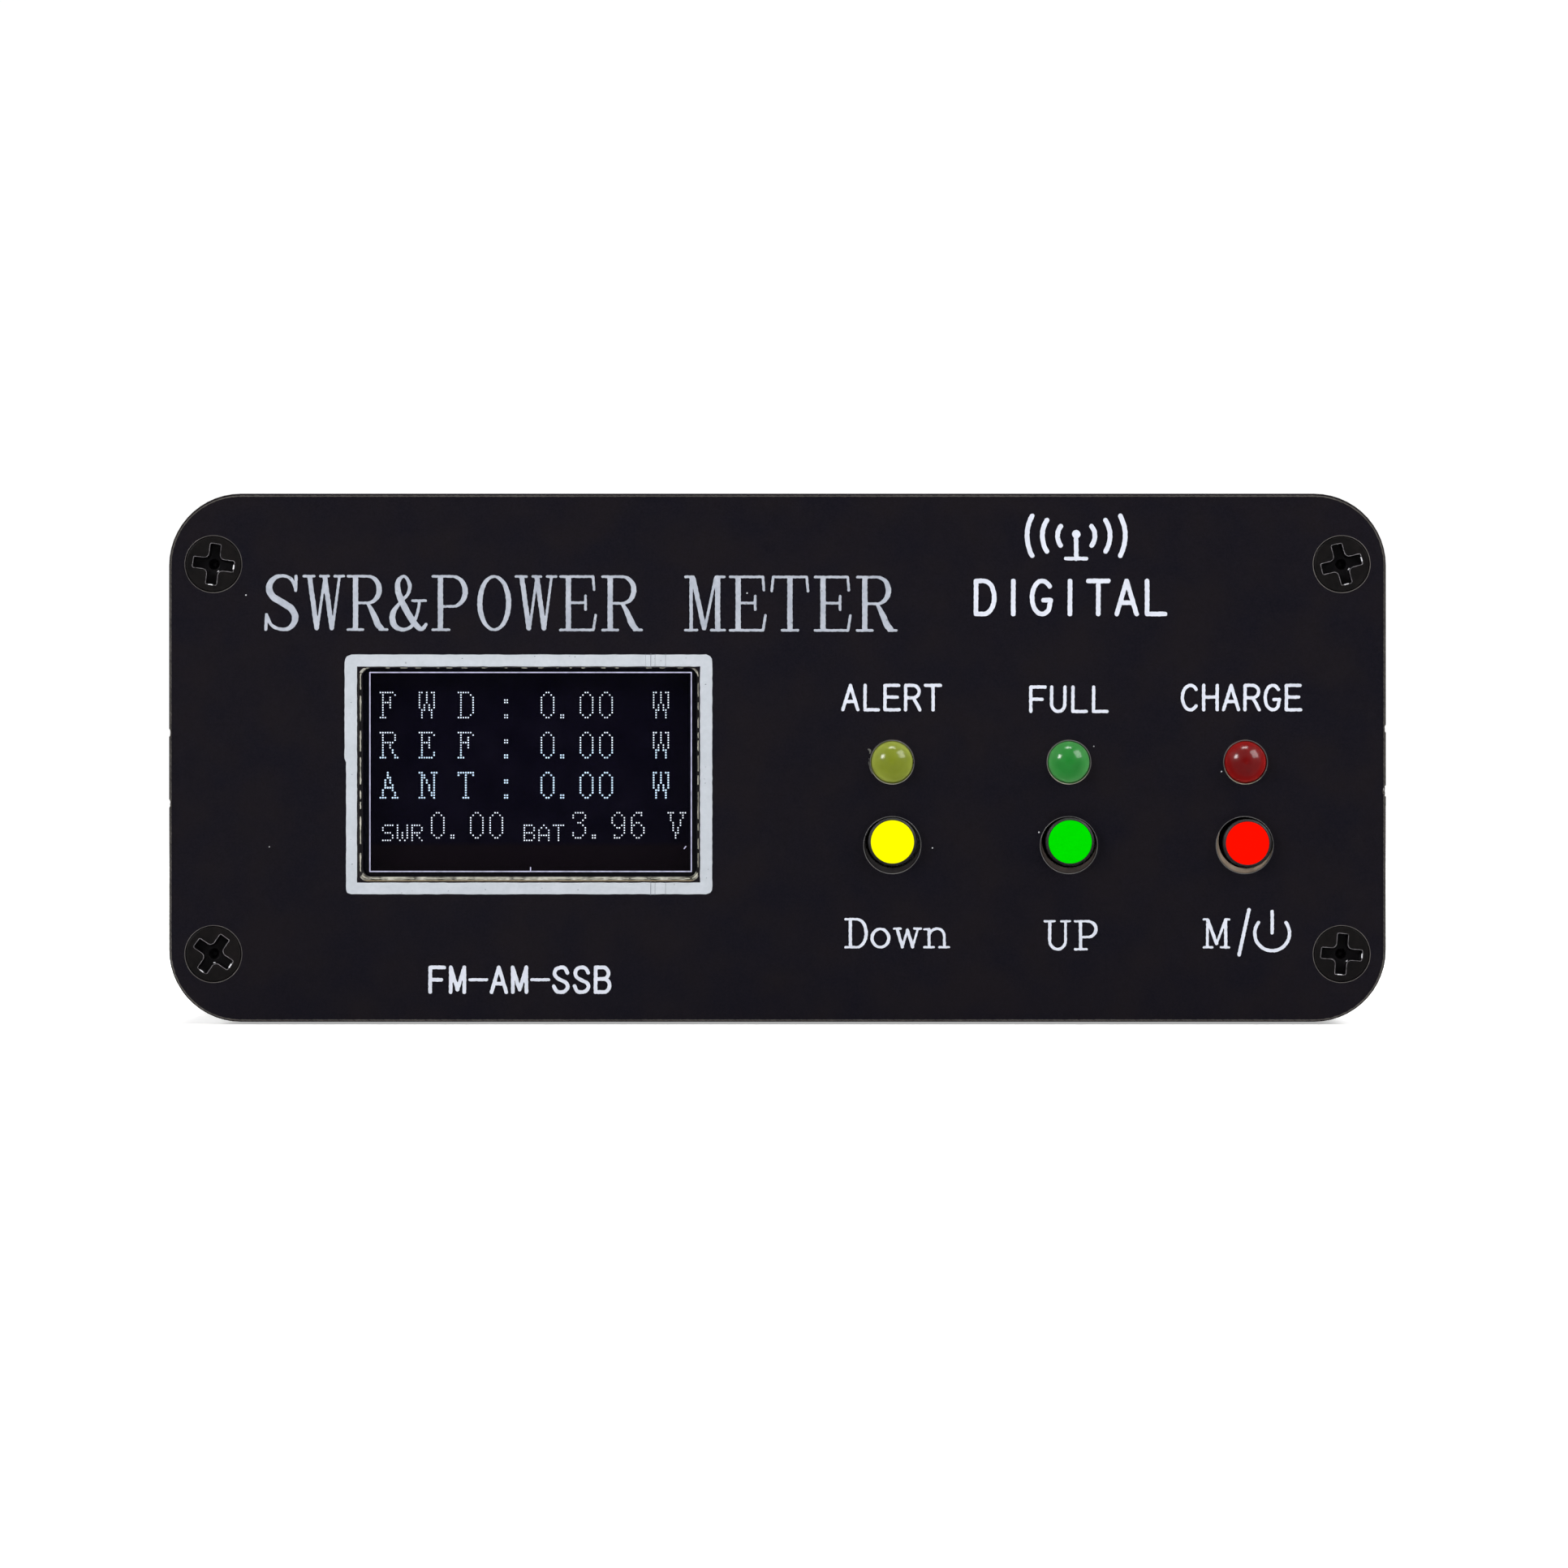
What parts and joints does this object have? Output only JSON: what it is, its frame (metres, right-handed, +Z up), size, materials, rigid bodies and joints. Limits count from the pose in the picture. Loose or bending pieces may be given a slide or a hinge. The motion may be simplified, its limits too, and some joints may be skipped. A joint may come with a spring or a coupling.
{
  "type": "swr meter",
  "caption": "Small in-line SWR and power meter: black extruded case, lit display behind a window, indicator lamps, coloured push keys, and coaxial and charging sockets at the rear.",
  "frame": {"origin": "centre of the lower shell's flat underside, where the meter stands on a desk", "axes": "+Z up, front panel faces -Y, coaxial sockets leave the rear along +Y, +X to the right of someone facing the front panel"},
  "size_m": [0.088, 0.1188, 0.0382],
  "materials": {
    "case_anodised": "fine matt black anodised",
    "panel_board": "black solder mask over glass-fibre board",
    "black_steel": "black oxide",
    "polariser": "dark glossy film",
    "display_glass": "near-black polished glass",
    "white_tape": "soft double-sided foam tape",
    "blue_board": "dark blue solder mask",
    "amber_film": "amber polyimide film",
    "black_plastic": "moulded matt plastic",
    "gold_pins": "gold flash",
    "green_board": "green solder mask",
    "lamp_yellow": "tinted clear epoxy",
    "lamp_green": "tinted clear epoxy",
    "lamp_red": "tinted clear epoxy",
    "tinned_metal": "bright tin",
    "switch_metal": "pressed nickel-plated sheet",
    "key_yellow": "flat saturated yellow",
    "key_green": "flat saturated green",
    "key_red": "flat saturated red",
    "can_aluminium": "drawn can",
    "resistor_coat": "grey-blue lacquer",
    "diode_glass": "clear orange glass",
    "copper": "bare bright copper",
    "white_plastic": "white fluoropolymer or nylon",
    "ferrite": "dark grey fired ferrite",
    "enamelled_wire": "reddish enamel on copper",
    "foil_pouch": "satin foil laminate",
    "red_insulation": "soft silicone",
    "black_insulation": "soft silicone",
    "plated_brass": "nickel plate over brass",
    "contact_metal": "pale gold plate",
    "bright_steel": "zinc plate"
  },
  "bodies": {
    "meter": {"lower_shell": "case_anodised", "upper_shell": "case_anodised", "front_panel": "panel_board", "rear_panel": "panel_board", "front_panel_screws": "black_steel", "rear_panel_screws": "black_steel", "display_polariser": "polariser", "display_glass": "display_glass", "display_tape": "white_tape", "display_board": "blue_board", "display_flex": "amber_film", "display_header": "black_plastic", "header_pins": "gold_pins", "control_board": "green_board", "alert_lamp": "lamp_yellow", "full_lamp": "lamp_green", "charge_lamp": "lamp_red", "lamp_leads": "tinned_metal", "switch_bases": "black_plastic", "switch_covers": "switch_metal", "switch_domes": "switch_metal", "switch_legs": "tinned_metal", "main_board": "green_board", "link_header": "black_plastic", "chips": "black_plastic", "chip_legs": "tinned_metal", "crystal": "can_aluminium", "chip_parts": "ferrite", "reservoir_capacitor": "can_aluminium", "capacitor_base": "black_plastic", "load_resistors": "resistor_coat", "detector_diodes": "diode_glass", "axial_leads": "tinned_metal", "usb_shell": "switch_metal", "usb_tongue": "black_plastic", "battery_tape": "white_tape", "battery_cell": "foil_pouch", "battery_guard_board": "amber_film", "battery_socket": "white_plastic", "battery_plug": "white_plastic", "battery_red_wire": "red_insulation", "battery_black_wire": "black_insulation", "transmitter_socket": "plated_brass", "antenna_socket": "plated_brass", "socket_insulators": "white_plastic", "socket_contacts": "contact_metal", "flange_screws": "bright_steel", "flange_nuts": "bright_steel", "flange_washers": "bright_steel", "ground_tags": "tinned_metal", "coupler_lines": "copper", "line_sleeve": "white_plastic", "toroid_cores": "ferrite", "toroid_windings": "enamelled_wire"},
    "down_button": {"down_plunger": "black_plastic", "down_key": "key_yellow"},
    "up_button": {"up_plunger": "black_plastic", "up_key": "key_green"},
    "mode_button": {"mode_plunger": "black_plastic", "mode_key": "key_red"}
  },
  "joints": [
    {"name": "down_press", "type": "slide", "parent": "meter", "child": "down_button", "axis": [0, 1, 0], "range_m": [0, 0.00025]},
    {"name": "up_press", "type": "slide", "parent": "meter", "child": "up_button", "axis": [0, 1, 0], "range_m": [0, 0.00025]},
    {"name": "mode_press", "type": "slide", "parent": "meter", "child": "mode_button", "axis": [0, 1, 0], "range_m": [0, 0.00025]}
  ]
}
